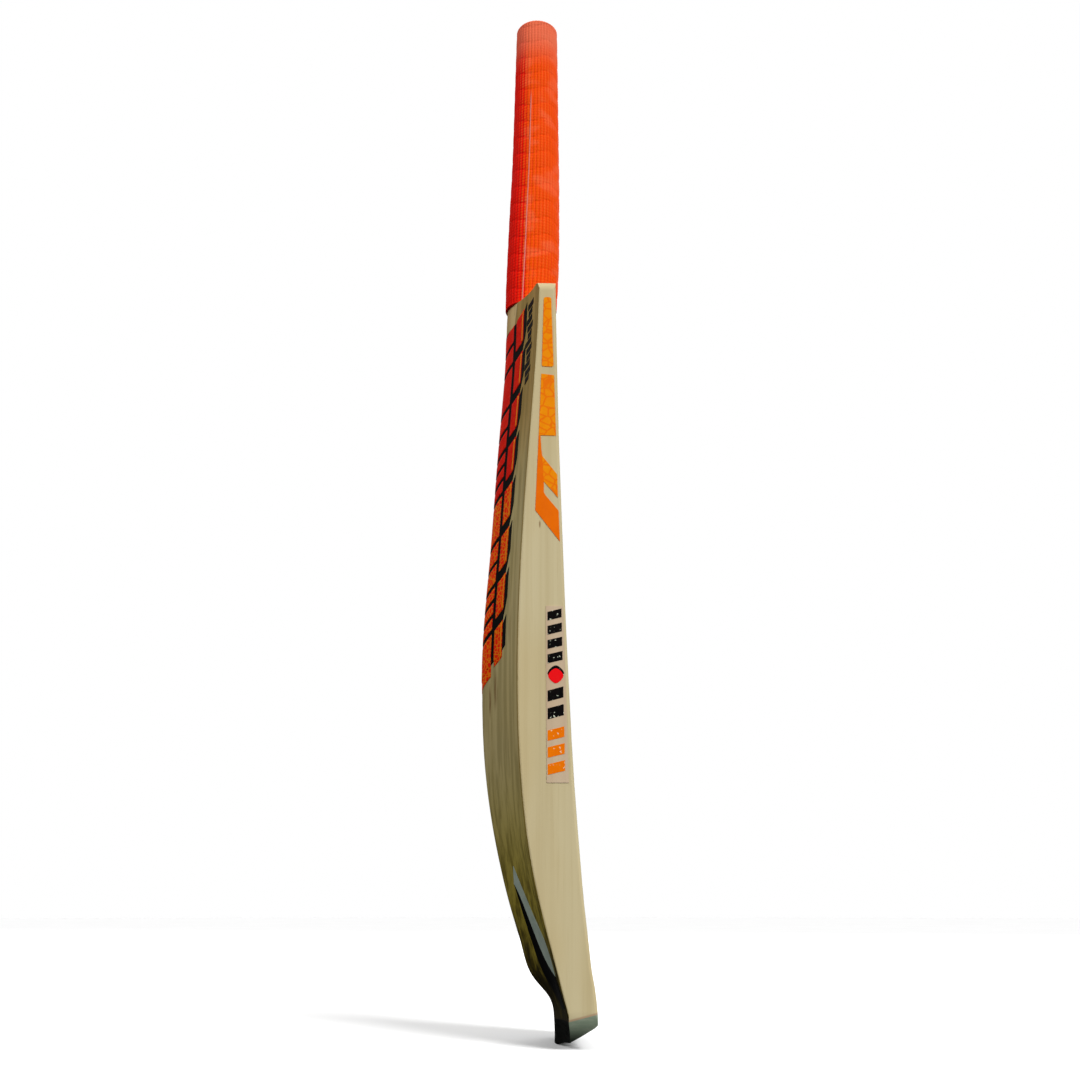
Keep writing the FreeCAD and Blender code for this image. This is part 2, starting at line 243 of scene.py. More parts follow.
# Painted shade on the back, as tints and darkening: the heights between which each fades, and its
# greatest share
SHADE_OLIVE_SHARE = 0.55
SHADE_YELLOW_HEIGHTS = (80 * MM, 210 * MM)
SHADE_YELLOW_SHARE = 0.8
SHADE_BROWN_HEIGHTS = (380 * MM, 470 * MM)
SHADE_BROWN_SHARE = 0.8
RIM_SHADE_WIDTH = 3.5 * MM
RIM_SHADE_SHARE = 0.8
STREAK_SHADE_HEIGHTS = (30 * MM, 200 * MM)
# Shares of the painted shade in streaks: in streaks everywhere, in more streaks low down, and all
# over low down
SHADE_STREAKS = 0.34
SHADE_LOW_STREAKS = 0.40
SHADE_LOW = 0.45
TOE_SHADE_HEIGHTS = (30 * MM, 78 * MM)
TOE_SHADE_BLOTCH = 160 * MM
TOE_SHADE_SHARE = 0.93
# Brown flecks in the willow: middle, and half lengths along each axis, in millimetres
FLECKS = [
    ((18.5, -30, 243), (2.8, 9.0, 19.0)),
    ((12.5, -33, 236), (1.8, 8.0, 17.0)),
    ((35, -20, 288), (2.2, 8.0, 18.0)),
    ((54, 1, 359), (3.0, 0.9, 4.0)),
    ((-22, -27, 180), (2.2, 9.0, 15.0)),
    ((-18, 40, 330), (1.6, 9.0, 10.0)),
]


def splice_line(s, x, z):
    """1 on the thin glue line between the blade and the splice, 0 away from it."""
    slope = (SPLICE_SIDE - SPLICE_FOOT_HALF) / (BLADE_HIGH.z - SPLICE_FOOT)
    half = s.math("MULTIPLY_ADD", z, slope, SPLICE_FOOT_HALF - slope * SPLICE_FOOT)
    gap = s.math("ABSOLUTE", s.math("SUBTRACT", s.math("ABSOLUTE", x), half))
    line = s.smooth(gap, *SPLICE_LINE, 1.0, 0.0)
    above = s.math("GREATER_THAN", z, SPLICE_FOOT)
    return s.math("MULTIPLY", line, above)


def guard_line(s, y, z):
    """1 on the thin tan line where the willow meets the toe guard."""
    reach = s.math("SUBTRACT", y, GUARD_HIGH.y)
    line = s.math("MULTIPLY_ADD", reach, GUARD_LINE_SLOPE, GUARD_HIGH.z)
    return s.smooth(s.math("SUBTRACT", z, line), *GUARD_LINE, 1.0, 0.0)


def back_painted_shade_tint(s, colour):
    """Painted shade on the back: olive wood, yellower towards the toe and browner towards the
    shoulder.
    """
    z = s.split(s.place)[2]
    back = s.facing_back()
    yellow = s.math("MULTIPLY", back, s.smooth(z, *SHADE_YELLOW_HEIGHTS, SHADE_YELLOW_SHARE, 0.0))
    brown = s.math("MULTIPLY", back, s.smooth(z, *SHADE_BROWN_HEIGHTS, 0.0, SHADE_BROWN_SHARE))
    colour = s.mix(s.math("MULTIPLY", back, SHADE_OLIVE_SHARE), colour, WILLOW_SHADE_OLIVE)
    colour = s.mix(yellow, colour, WILLOW_SHADE_YELLOW)
    return s.mix(brown, colour, WILLOW_SHADE_BROWN)


def back_rim_shade(s):
    """1 along the back's outer rims, which are darkened there as painted shade of the rounded
    corners.
    """
    away = s.math("ABSOLUTE", s.split(s.place)[0])
    rim = s.smooth(away, BLADE_HIGH.x - RIM_SHADE_WIDTH, BLADE_HIGH.x, 0.0, RIM_SHADE_SHARE)
    return s.math("MULTIPLY", rim, s.facing_back())


def back_streaky_shade(s):
    """Painted shade in brown streaks down the back, on nearly all of it beside the toe."""
    z = s.split(s.place)[2]
    streak = s.grain(across=240, along=6, detail=4.0, roughness=0.6)
    low = s.smooth(z, *STREAK_SHADE_HEIGHTS, 1.0, 0.0)
    depth = s.math("MULTIPLY_ADD", low, SHADE_LOW_STREAKS, SHADE_STREAKS)
    streaky = s.math("MULTIPLY", s.smooth(streak, 0.40, 0.64), depth)
    share = s.math("MULTIPLY_ADD", low, SHADE_LOW, streaky, clamp=True)
    return s.math("MULTIPLY", share, s.facing_back())


def back_toe_shade(s):
    """Nearly black painted shade on the back of the toe, broken up into blotches at its upper end.
    """
    z = s.split(s.place)[2]
    blotch = s.grain(across=150, along=45, detail=4.0, roughness=0.65)
    level = s.math("MULTIPLY_ADD", s.math("SUBTRACT", blotch, 0.5), TOE_SHADE_BLOTCH, z)
    share = s.smooth(level, *TOE_SHADE_HEIGHTS, TOE_SHADE_SHARE, 0.0)
    return s.math("MULTIPLY", share, s.facing_back())


def willow_grain(s):
    """The bare wood's colour, with the fibre and the late wood that also shape its surface."""
    x, y = s.split(s.place)[:2]
    long_waves = s.grain(across=14, along=1.6, detail=2.0)
    fine_waves = s.grain(across=60, along=3)
    across = s.math("MULTIPLY_ADD", y, RING_SLOPE, x)
    across = s.math("MULTIPLY_ADD", long_waves, RING_LONG_WAVE, across)
    across = s.math("MULTIPLY_ADD", fine_waves, RING_FINE_WAVE, across)
    ring = s.math("FRACT", s.math("DIVIDE", across, RING_SPACING))
    late_wood = s.ramp(ring, *RING_STOPS)

    fibre = s.grain(across=900, along=16, detail=4.0, roughness=0.65)
    streak = s.grain(across=170, along=2.2, roughness=0.55)
    cloud = s.grain(across=16, along=5)

    colour = s.mix(s.smooth(cloud, 0.38, 0.66), WILLOW_PALE, WILLOW_WARM)
    colour = s.mix(s.smooth(streak, 0.45, 0.75, 0.0, STREAK_SHARE), colour, WILLOW_LINE)
    colour = s.mix(s.math("MULTIPLY", late_wood, LATE_WOOD_SHARE), colour, WILLOW_LINE)
    colour = s.mix(s.smooth(fibre, 0.52, 0.75, 0.0, FIBRE_SHARE), colour, WILLOW_LINE)
    return colour, fibre, late_wood


def fleck_mask(s):
    """Small brown stains, each a soft ellipsoid, broken up along the fibres."""
    torn = s.grain(across=420, along=30)
    total = None
    for middle, half in FLECKS:
        scale = tuple(1 / (h * MM) for h in half)
        moved = s.stretch(scale, tuple(-m / h for m, h in zip(middle, half)))
        length = s.tree.nodes.new("ShaderNodeVectorMath")
        length.operation = "LENGTH"
        s.put(length.inputs[0], moved)
        spot = s.smooth(length.outputs["Value"], 0.2, 1.0, 1.0, 0.0)
        total = spot if total is None else s.math("MAXIMUM", total, spot)
    return s.math("MULTIPLY", total, s.smooth(torn, 0.40, 0.62, 0.1, 0.8))


def willow_material():
    s = Shader("willow_blade")
    x, y, z = s.split(s.place)
    colour, fibre, late_wood = willow_grain(s)
    # Painted shade on the back: tints, darker rims, streaks, and near black beside the toe
    colour = back_painted_shade_tint(s, colour)
    colour = s.mix(back_rim_shade(s), colour, WILLOW_RIM_SHADE)
    colour = s.mix(s.math("MULTIPLY", guard_line(s, y, z), LINE_SHARE), colour, GUARD_LINE_TAN)
    colour = s.mix(back_streaky_shade(s), colour, WILLOW_STREAK_SHADE)
    colour = s.mix(back_toe_shade(s), colour, WILLOW_TOE_SHADE)
    colour = s.mix(fleck_mask(s), colour, FLECK_BROWN)
    colour = s.mix(s.math("MULTIPLY", splice_line(s, x, z), LINE_SHARE), colour, GLUE_BROWN)

    s.set(Base_Color=colour, Specular_IOR_Level=WILLOW_SPECULAR)
    s.set(Roughness=s.smooth(fibre, *NOISE_SPAN, *WILLOW_ROUGHNESS))
    height = s.math("MULTIPLY_ADD", late_wood, LATE_WOOD_RELIEF, fibre)
    s.set(Normal=s.bump(height, distance=0.05 * MM, strength=0.6))
    return s.material


CANE_PALE = (0.62, 0.44, 0.17)
CANE_DEEP = (0.42, 0.26, 0.075)
CANE_PORE = (0.20, 0.11, 0.03)
CANE_ROUGHNESS = (0.42, 0.58)
CANE_TONES = (1.0, 0.93, 1.05, 0.97, 1.02)


def cane_material(name, tone):
    s = Shader(name)
    x, z = s.split(s.place)[0::2]
    fibre = s.grain(across=1400, along=26, roughness=0.6)
    pore = s.grain(across=700, along=45, detail=2.0)
    band = s.grain(across=90, along=3, detail=2.0)
    pale = tuple(part * tone for part in CANE_PALE)
    deep = tuple(part * tone for part in CANE_DEEP)
    colour = s.mix(s.smooth(band, 0.35, 0.7), pale, deep)
    colour = s.mix(s.smooth(fibre, 0.5, 0.72, 0.0, 0.55), colour, deep)
    colour = s.mix(s.smooth(pore, 0.60, 0.72, 0.0, 0.7), colour, CANE_PORE)
    colour = s.mix(s.math("MULTIPLY", splice_line(s, x, z), LINE_SHARE), colour, GLUE_BROWN)
    s.set(Base_Color=colour, Roughness=s.smooth(fibre, *NOISE_SPAN, *CANE_ROUGHNESS))
    s.set(Normal=s.bump(fibre, distance=0.06 * MM, strength=0.7))
    return s.material


GRIP_ORANGE = (0.80, 0.078, 0.001)
# Pink of the painted highlight patches
GRIP_PINK_HIGHLIGHT = (0.84, 0.130, 0.035)
# Red of the painted shade, also used for random specks
GRIP_RED = (0.74, 0.006, 0.001)
GRIP_SEAM = (0.62, 0.21, 0.18)
# Pale painted highlight near the grip's top
GRIP_HAZE_HIGHLIGHT = (0.72, 0.17, 0.09)
GRIP_ROUGHNESS = (0.42, 0.54)
GRIP_SPECULAR = 0.02
# How far behind the handle's middle the checks and the whole rear turn red, as painted shade
SIDE_SHADE_RED = (HANDLE_DEPTH - 3 * MM, HANDLE_DEPTH - 7.5 * MM)
REAR_SHADE_RED = (HANDLE_DEPTH - 6 * MM, HANDLE_DEPTH - 15 * MM)
HIGHLIGHT_HAZE_HEIGHTS = (GRIP_HIGH.z - 50 * MM, GRIP_HIGH.z - 12 * MM)
GROOVE_SHADE_SHARE = 0.32
CHECK_SHADE_SHARE = 0.85
REAR_SHADE_SHARE = 0.97
PINK_HIGHLIGHT_SHARE = 0.75
SPECKLE_SHARE = 0.2
HIGHLIGHT_HAZE_SHARE = 0.72
SEAM_SHARE = 0.85


def grip_material():
    """Orange rubber with a pale moulding seam; painted shade makes it redder in its grooves and
    towards the rear, and painted highlights add pink patches and a pale haze near the top.
    """
    s = Shader("grip_rubber")
    y, z = s.split(s.place)[1:]
    speckle = s.noise(s.place, scale=900.0, detail=2.0)
    patch = s.grain(across=55, along=75, detail=1.0)
    hollow = s.vertex_value("hollow")
    # Painted shade: redder towards the rear, in the checks on the side and in the grooves
    side = s.smooth(y, *SIDE_SHADE_RED, 0.0, CHECK_SHADE_SHARE)
    rear = s.smooth(y, *REAR_SHADE_RED, 0.0, REAR_SHADE_SHARE)
    groove = s.smooth(hollow, 0.08, 0.50, 0.0, GROOVE_SHADE_SHARE)
    check = s.math("MULTIPLY", s.smooth(hollow, 0.02, 0.22), side)
    red = s.math("ADD", s.math("MAXIMUM", groove, check), rear, clamp=True)
    # Painted highlight: soft pink patches
    colour = s.mix(s.smooth(patch, 0.50, 0.68, 0.0, PINK_HIGHLIGHT_SHARE), GRIP_ORANGE, GRIP_PINK_HIGHLIGHT)
    colour = s.mix(red, colour, GRIP_RED)
    colour = s.mix(s.smooth(speckle, 0.45, 0.7, 0.0, SPECKLE_SHARE), colour, GRIP_RED)
    # Painted highlight: a pale haze near the top
    colour = s.mix(s.smooth(z, *HIGHLIGHT_HAZE_HEIGHTS, 0.0, HIGHLIGHT_HAZE_SHARE), colour, GRIP_HAZE_HIGHLIGHT)
    colour = s.mix(s.math("MULTIPLY", s.vertex_value("seam"), SEAM_SHARE), colour, GRIP_SEAM)
    s.set(Base_Color=colour, Specular_IOR_Level=GRIP_SPECULAR)
    s.set(Roughness=s.smooth(patch, *NOISE_SPAN, *GRIP_ROUGHNESS))
    s.set(Normal=s.bump(speckle, distance=0.04 * MM, strength=0.5))
    return s.material


# How much rougher the scuffed rubber and the scratched print are than the rest of them
SCUFF_ROUGHER = 0.18
SCRATCH_ROUGHER = 0.14


def plain_rubber(name, dark, light, roughness, specular, rear=None):
    """Scuffed rubber; rear, if given, is a painted shade colour for the side that looks backwards.
    """
    s = Shader(name)
    speckle = s.noise(s.place, scale=1100.0, detail=2.0)
    scuff = s.grain(across=60, along=260, detail=4.0, roughness=0.65)
    colour = s.mix(s.smooth(scuff, 0.45, 0.7), dark, light)
    # Painted shade: the side that looks backwards takes the rear colour
    if rear:
        colour = s.mix(s.facing_back(), colour, rear)
    s.set(Base_Color=colour, Specular_IOR_Level=specular)
    s.set(Roughness=s.smooth(scuff, 0.35, 0.7, roughness, roughness + SCUFF_ROUGHER))
    s.set(Normal=s.bump(speckle, distance=0.05 * MM, strength=0.5))
    return s.material


TURN = 2 * math.pi
TWINE_PITCH = 0.9 * MM
TWINE_DEEP = (0.30, 0.24, 0.14)
TWINE_PALE = (0.66, 0.60, 0.44)
TWINE_BROWN = (0.40, 0.33, 0.20)


def twine_material():
    """Twine wound round the handle, one pale strand for each turn."""
    s = Shader("twine")
    x, y, z = s.split(s.place)
    turn = s.math("ARCTAN2", s.math("SUBTRACT", y, HANDLE_DEPTH), x)
    climb = s.math("MULTIPLY_ADD", turn, 1 / TURN, s.math("DIVIDE", z, TWINE_PITCH))
    strand = s.math("PINGPONG", climb, 0.5)
    twist = s.grain(across=800, along=2500, detail=2.0)
    colour = s.mix(s.smooth(strand, 0.05, 0.45), TWINE_DEEP, TWINE_PALE)
    colour = s.mix(s.smooth(twist, 0.4, 0.7, 0.0, 0.3), colour, TWINE_BROWN)
    s.set(Base_Color=colour, Roughness=0.8, Sheen_Weight=0.2)
    s.set(Normal=s.bump(strand, distance=0.3 * MM, strength=0.8))
    return s.material


VINYL_ROUGHNESS = 0.32
VINYL_SPECULAR = 0.04
CRACK_WANDER = 2 * MM
CRACK_SHARE = 0.85
# Pale green of the painted glints
GLINT_HIGHLIGHT_GREEN = (0.75, 0.80, 0.62)


def vinyl(name, colour, worn, crackle=None, crackle_scale=150.0, glint=0.0):
    """Printed film: uneven ink and faint scratches, with cracks and painted glints of highlight if
    asked for.
    """
    s = Shader(name)
    ink = s.noise(s.place, scale=160.0, detail=4.0, roughness=0.6)
    scratch = s.grain(across=500, along=40, roughness=0.7)
    shade = s.mix(s.smooth(ink, 0.35, 0.7, 0.0, 0.6), colour, worn)
    if crackle:
        wander = s.noise(s.place, scale=120.0, detail=2.0)
        moved = s.math("MULTIPLY", wander, CRACK_WANDER)
        x, y, z = s.split(s.place)
        x, y = (s.math("ADD", part, moved) for part in (x, y))
        place = s.join(x, y, s.math("SUBTRACT", z, moved))
        vein = s.smooth(s.cracks(place, crackle_scale), 0.02, 0.13, CRACK_SHARE, 0.0)
        shade = s.mix(vein, shade, crackle)
    # Painted highlight: pale green glints in the colour
    if glint:
        glint_spots = s.noise(s.stretch((900, 420, 420)), detail=2.0)
        shade = s.mix(s.smooth(glint_spots, 0.63, 0.70, 0.0, glint), shade, GLINT_HIGHLIGHT_GREEN)
    s.set(Base_Color=shade, Specular_IOR_Level=VINYL_SPECULAR)
    rougher = VINYL_ROUGHNESS + SCRATCH_ROUGHER
    s.set(Roughness=s.smooth(scratch, 0.35, 0.7, VINYL_ROUGHNESS, rougher))
    s.set(Normal=s.bump(ink, distance=0.03 * MM, strength=0.35))
    return s.material


FILM_CAST = 0.15
FILM_ROUGHNESS = (0.12, 0.26)
FILM_SPECULAR = 0.25
FILM_PINK = (0.61, 0.24, 0.40)


def clear_film():
    """Clear film, drawn as the willow that shows through it, with a pink cast and a gloss."""
    s = Shader("clear_film")
    colour = s.mix(FILM_CAST, willow_grain(s)[0], FILM_PINK)
    wrinkle = s.grain(across=120, along=60)
    s.set(Base_Color=colour, Specular_IOR_Level=FILM_SPECULAR)
    s.set(Roughness=s.smooth(wrinkle, 0.35, 0.65, *FILM_ROUGHNESS))
    s.set(Normal=s.bump(wrinkle, distance=0.05 * MM, strength=0.3))
    return s.material


MATERIALS = {
    "willow": willow_material(),
    "grip": grip_material(),
    "spring": plain_rubber(
        "spring_rubber", (0.012, 0.012, 0.013), (0.035, 0.034, 0.032),
        roughness=0.62, specular=0.2,
    ),
    "guard": plain_rubber(
        "guard_rubber", (0.200, 0.250, 0.180), (0.270, 0.310, 0.230),
        # The guard's near black rear colour is painted shade
        roughness=0.45, specular=0.05, rear=(0.002, 0.002, 0.001),
    ),
    "twine": twine_material(),
    "amber": vinyl(
        "amber_print", (0.76, 0.225, 0.001), (0.80, 0.27, 0.002), crackle=(0.74, 0.135, 0.001),
    ),
    "orange": vinyl("orange_print", (0.76, 0.140, 0.001), (0.70, 0.120, 0.001)),
    "black": vinyl("black_print", (0.002, 0.002, 0.002), (0.005, 0.004, 0.004)),
    "silver": vinyl("silver_print", (0.40, 0.47, 0.40), (0.30, 0.37, 0.31)),
    "red": vinyl("red_print", (0.66, 0.006, 0.001), (0.84, 0.022, 0.001)),
    "ember": vinyl(
        "ember_print", (0.86, 0.012, 0.001), (0.84, 0.040, 0.001),
        crackle=(0.84, 0.25, 0.002), crackle_scale=300.0,
    ),
    "glow": vinyl("glow_print", (0.95, 0.30, 0.004), (0.88, 0.20, 0.003)),
    "film": clear_film(),
    "film_black": vinyl(
        "film_black_print", (0.002, 0.002, 0.002), (0.007, 0.004, 0.004), glint=0.8,
    ),
    "film_orange": vinyl(
        "film_orange_print", (0.78, 0.170, 0.001), (0.74, 0.140, 0.001), glint=0.7,
    ),
    "film_red": vinyl("film_red_print", (0.80, 0.004, 0.008), (0.76, 0.010, 0.010)),
}


# ---------------------------------------------------------------- surfaces to build on

def joined_tree(nodes):
    """One ray-casting tree over several CAD nodes."""
    points, faces = [], []
    for node in nodes:
        mesh = NODES[node].data
        start = len(points)
        points.extend(v.co.copy() for v in mesh.vertices)
        faces.extend(tuple(start + i for i in p.vertices) for p in mesh.polygons)
    return BVHTree.FromPolygons(points, faces)


CANES = [name for name in NODES if name.startswith("cane_")]
BACK_LABELS = ["spine_label", "flank_strokes"]
BODY_TREE = joined_tree(["blade", "toe_guard"] + CANES + BACK_LABELS)
GRIP_TREE = joined_tree(["grip"])
# Places well outside the bat and its grip, where rays towards them start
BODY_RAY_START = 200 * MM
GRIP_RAY_START = 100 * MM
# A ray that slips past the rim of the blade is cast again this much nearer the middle
RIM_RETRY = 0.98
# Printed sheets: the width of the strips they are cut into, and how deep their walls go in
PRINT_STRIP = 1.5 * MM
SHEET_SUNK = 0.05 * MM


def new_piece(name, bm, material, smooth=True):
    """A piece of the bat from a bmesh, which it uses up."""
    bmesh.ops.recalc_face_normals(bm, faces=bm.faces)
    mesh = bpy.data.meshes.new(name)
    bm.to_mesh(mesh)
    bm.free()
    obj = bpy.data.objects.new(name, mesh)
    bpy.context.scene.collection.objects.link(obj)
    mesh.materials.append(material)
    for polygon in mesh.polygons:
        polygon.use_smooth = smooth
    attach(obj, "root")
    return obj


def sliced_polygon(bm, outline):
    """Fills a flat outline of (x, z) points and cuts it into strips both ways."""
    face = bm.faces.new([bm.verts.new((x, 0.0, z)) for x, z in outline])
    face.normal_update()
    for normal, values in zip((Vector((1, 0, 0)), Vector((0, 0, 1))), zip(*outline)):
        count = int((max(values) - min(values)) / PRINT_STRIP)
        for i in range(1, count + 1):
            place = normal * (min(values) + i * PRINT_STRIP)
            geometry = bm.verts[:] + bm.edges[:] + bm.faces[:]
            bmesh.ops.bisect_plane(bm, geom=geometry, plane_co=place, plane_no=normal)


def back_depth(x, z):
    """Depth of the bat's back at one place, found by a ray from behind."""
    forward = Vector((0, 1, 0))
    hit = BODY_TREE.ray_cast(Vector((x, -BODY_RAY_START, z)), forward)[0]
    if hit is None:
        hit = BODY_TREE.ray_cast(Vector((x * RIM_RETRY, -BODY_RAY_START, z)), forward)[0]
    return hit.y


def add_sheet(bm, outline, lift):
    """A thin closed sheet on the bat's back, whose outside stands lift above the wood."""
    part = bmesh.new()
    sliced_polygon(part, outline)
    for vert in part.verts:
        vert.co.y = back_depth(vert.co.x, vert.co.z) - lift
    rim = [e for e in part.edges if e.is_boundary]
    walls = bmesh.ops.extrude_edge_only(part, edges=rim)
    for item in walls["geom"]:
        if isinstance(item, bmesh.types.BMVert):
            item.co.y += lift + SHEET_SUNK
    mesh = bpy.data.meshes.new("part")
    part.to_mesh(mesh)
    part.free()
    bm.from_mesh(mesh)
    bpy.data.meshes.remove(mesh)


def back_print(name, outlines, lift, material):
    bm = bmesh.new()
    for outline in outlines:
        add_sheet(bm, outline, lift)
    new_piece(name, bm, material)


# ---------------------------------------------------------------- grip

GRIP_RIBS = 40
SAMPLES_PER_RIB = 12
GRIP_ROW = 0.7 * MM
# Each groove's flank starts at this share of the way from the crest to the groove's bottom
RIB_CREST = 0.4
RIB_DEPTH = 0.5 * MM
RIB_ROUND_SHARE = 0.15
NOTCH_CREST = 0.45
NOTCH_PITCH = 2.7 * MM
NOTCH_DEPTH = 0.22 * MM
CHEVRON_PITCH = 16 * MM
CHEVRON_RISE = 5 * MM
CHEVRON_COUNT = 4
CHEVRON_START = 0.15
CHEVRON_FLANK = (0.85, 0.97)
CHEVRON_DEPTH = 0.16 * MM
PILLOW_DEPTH = 0.20 * MM
SEAM_ANGLES = (math.radians(-21), math.radians(-13))
SEAM_HALF_WIDTH = 0.5 * MM
SEAM_RISE = 0.12 * MM
SEAM_TOP = 765 * MM
SEAM_FADE = 15 * MM
HEM_ROUND = 0.8 * MM
HEM_STEPS = 3
HEM_FADE = 1.5 * MM
RIM_ROUND = 2.4 * MM
RIM_STEPS = 8
GRIP_WALL = 2.2 * MM
GRIP_LIP = 2.5 * MM
GRIP_OPENING = 9 * MM
OPENING_STEPS = 8
OPENING_SAG = 0.5 * MM
INNER_STEPS = 12
# Just above the grip's lower end, where rays still meet its side
GRIP_FIRST_RAY = GRIP_LOW.z + 0.1 * MM


def smoothstep(low, high, value):
    share = min(max((value - low) / (high - low), 0.0), 1.0)
    return share * share * (3 - 2 * share)


def fold(value):
    """0 halfway between whole numbers, rising to 1 on each of them."""
    return abs(2 * (value % 1.0) - 1)


def grip_oval(height):
    """The grip's middle depth, half depth and half width at one height."""
    level = min(max(height, GRIP_FIRST_RAY), GRIP_HIGH.z - RIM_ROUND)
    far = GRIP_RAY_START
    front = GRIP_TREE.ray_cast(Vector((0, far, level)), Vector((0, -1, 0)))[0].y
    back = GRIP_TREE.ray_cast(Vector((0, -far, level)), Vector((0, 1, 0)))[0].y
    middle = (front + back) / 2
    side = GRIP_TREE.ray_cast(Vector((far, middle, level)), Vector((-1, 0, 0)))[0].x
    return middle, (front - back) / 2, side


def seam_share(angle, height, radius):
    """1 on the moulding seam, 0 away from it."""
    climb = (height - GRIP_LOW.z) / (GRIP_HIGH.z - GRIP_LOW.z)
    middle = SEAM_ANGLES[0] + (SEAM_ANGLES[1] - SEAM_ANGLES[0]) * climb
    away = abs((angle - middle + math.pi) % TURN - math.pi) * radius
    fade = 1 - smoothstep(SEAM_TOP - SEAM_FADE, SEAM_TOP, height)
    return fade * (1 - smoothstep(0.5 * SEAM_HALF_WIDTH, 1.5 * SEAM_HALF_WIDTH, away))


def grip_relief(angle, height):
    """Depth below the grip's outline: first of ribs, notches and chevrons, then of soft pillows."""
    groove = fold(angle * GRIP_RIBS / TURN)
    notch = fold(height / NOTCH_PITCH)
    zigzag = CHEVRON_RISE * fold(angle * CHEVRON_COUNT / TURN + CHEVRON_START)
    row = fold((height + zigzag) / CHEVRON_PITCH)
    flank = smoothstep(RIB_CREST, 1.0, groove)
    hollow = RIB_DEPTH * (RIB_ROUND_SHARE * groove ** 2 + (1 - RIB_ROUND_SHARE) * flank)
    hollow += NOTCH_DEPTH * smoothstep(NOTCH_CREST, 1.0, notch)
    hollow += CHEVRON_DEPTH * smoothstep(*CHEVRON_FLANK, row)
    return hollow, PILLOW_DEPTH * row ** 2


def hem_rows():
    """Rows of the grip's rounded lower end, from its inner wall outwards."""
    low = GRIP_LOW.z
    rows = [(low, GRIP_WALL, 0, 0)]
    for step in range(HEM_STEPS + 1):
        turn = step / HEM_STEPS * math.pi / 2
        height = low + HEM_ROUND * (1 - math.cos(turn))
        rows.append((height, HEM_ROUND * (1 - math.sin(turn)), 0, 0))
    return rows


def wall_rows():
    """Rows of the grip's outer wall, whose relief fades in above the hem."""
    foot = GRIP_LOW.z + HEM_ROUND
    wall = GRIP_HIGH.z - RIM_ROUND - foot
    count = round(wall / GRIP_ROW)
    heights = [foot + wall * step / count for step in range(1, count)]
    return [(height, 0, smoothstep(0, HEM_FADE, height - foot), 0) for height in heights]


def rim_rows():
    """Rows over the grip's rounded rim, then over its nearly flat end to the opening."""
    rows = []
    high = GRIP_HIGH.z
    for step in range(RIM_STEPS + 1):
        share = step / RIM_STEPS
        turn = share * math.pi / 2
        height = high - RIM_ROUND * (1 - math.sin(turn))
        rows.append((height, RIM_ROUND * (1 - math.cos(turn)), 1 - share, 0))
    for step in range(1, OPENING_STEPS + 1):
        share = step / OPENING_STEPS
        rows.append((high - OPENING_SAG * share ** 4, RIM_ROUND, 0, share))
    return rows


def inner_rows():
    """Rows of the opening's lip, then down the grip's inner wall."""
    low, under = GRIP_LOW.z, GRIP_HIGH.z - GRIP_LIP
    rows = [(under, RIM_ROUND, 0, 1), (under, GRIP_WALL, 0, 0)]
    for step in range(INNER_STEPS - 1, 0, -1):
        rows.append((low + (under - low) * step / INNER_STEPS, GRIP_WALL, 0, 0))
    return rows


def grip_profile():
    """(height, inset, share of the relief, share of the round opening) for each row of points."""
    return hem_rows() + wall_rows() + rim_rows() + inner_rows()


def grip_ring(bm, layers, row, angles):
    height, inset, relief, opening = row
    middle, half_depth, half_width = grip_oval(height)
    ring = []
    for angle in angles:
        hollow, pillow = grip_relief(angle, height)
        seam = relief * seam_share(angle, height, half_depth)
        away = inset + relief * (hollow + pillow) * (1 - seam) - SEAM_RISE * seam
        across = (half_width - away) * (1 - opening) + GRIP_OPENING * opening
        along = (half_depth - away) * (1 - opening) + GRIP_OPENING * opening
        vert = bm.verts.new((across * math.cos(angle), middle + along * math.sin(angle), height))
        vert[layers[0]] = relief * hollow / MM
        vert[layers[1]] = seam
        ring.append(vert)
    return ring


def make_grip():
    bm = bmesh.new()
    layers = (bm.verts.layers.float.new("hollow"), bm.verts.layers.float.new("seam"))
    count = GRIP_RIBS * SAMPLES_PER_RIB
    angles = [TURN * i / count for i in range(count)]
    rings = [grip_ring(bm, layers, row, angles) for row in grip_profile()]
    for lower, upper in zip(rings, rings[1:] + rings[:1]):
        for i in range(count):
            j = (i + 1) % count
            bm.faces.new((lower[i], lower[j], upper[j], upper[i]))
    grip = new_piece("grip_sleeve", bm, MATERIALS["grip"])
    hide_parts("grip")


# ---------------------------------------------------------------- printed labels

PRINT_LIFT = 0.2 * MM
GLOW_LIFT = 0.3 * MM
STEP_COUNT = 8
STEP_PITCH = 36.5 * MM
STEP_SLANT = 0.75
BAR_OUTER = 25 * MM
BAR_INNER = 16.5 * MM
BAND_OUTER = 13.5 * MM
BAR_SHORTER = 0.12 * STEP_PITCH
BLACK_GAP = 3.2 * MM
STEP_GAP = 1.35 * BLACK_GAP
BAND_GAP = 1.2 * BLACK_GAP
GLOW_INSET = 0.9 * MM
GLOW_WIDTH = 1.1 * MM
GLOW_END = 1.2 * MM
BANDS_IN_STEP = [2, 1, 2, 3, 1, 2, 3, 1]
RED_STEPS = 4


def slanted(x_low, x_high, top, bottom, side):
    """A slanted quad on the back, its outer end up; side is +1 for the right half."""
    corners = []
    for x, z in ((x_low, bottom), (x_high, bottom), (x_high, top), (x_low, top)):
        drop = STEP_SLANT * (BAR_OUTER - x)
        corners.append((side * x, z - drop))
    return corners if side > 0 else corners[::-1]


def step_heights(step):
    """Where one step of the spine label starts and ends."""
    top = LABEL_TOP - step * STEP_PITCH - BLACK_GAP
    return top, top - STEP_PITCH + STEP_GAP


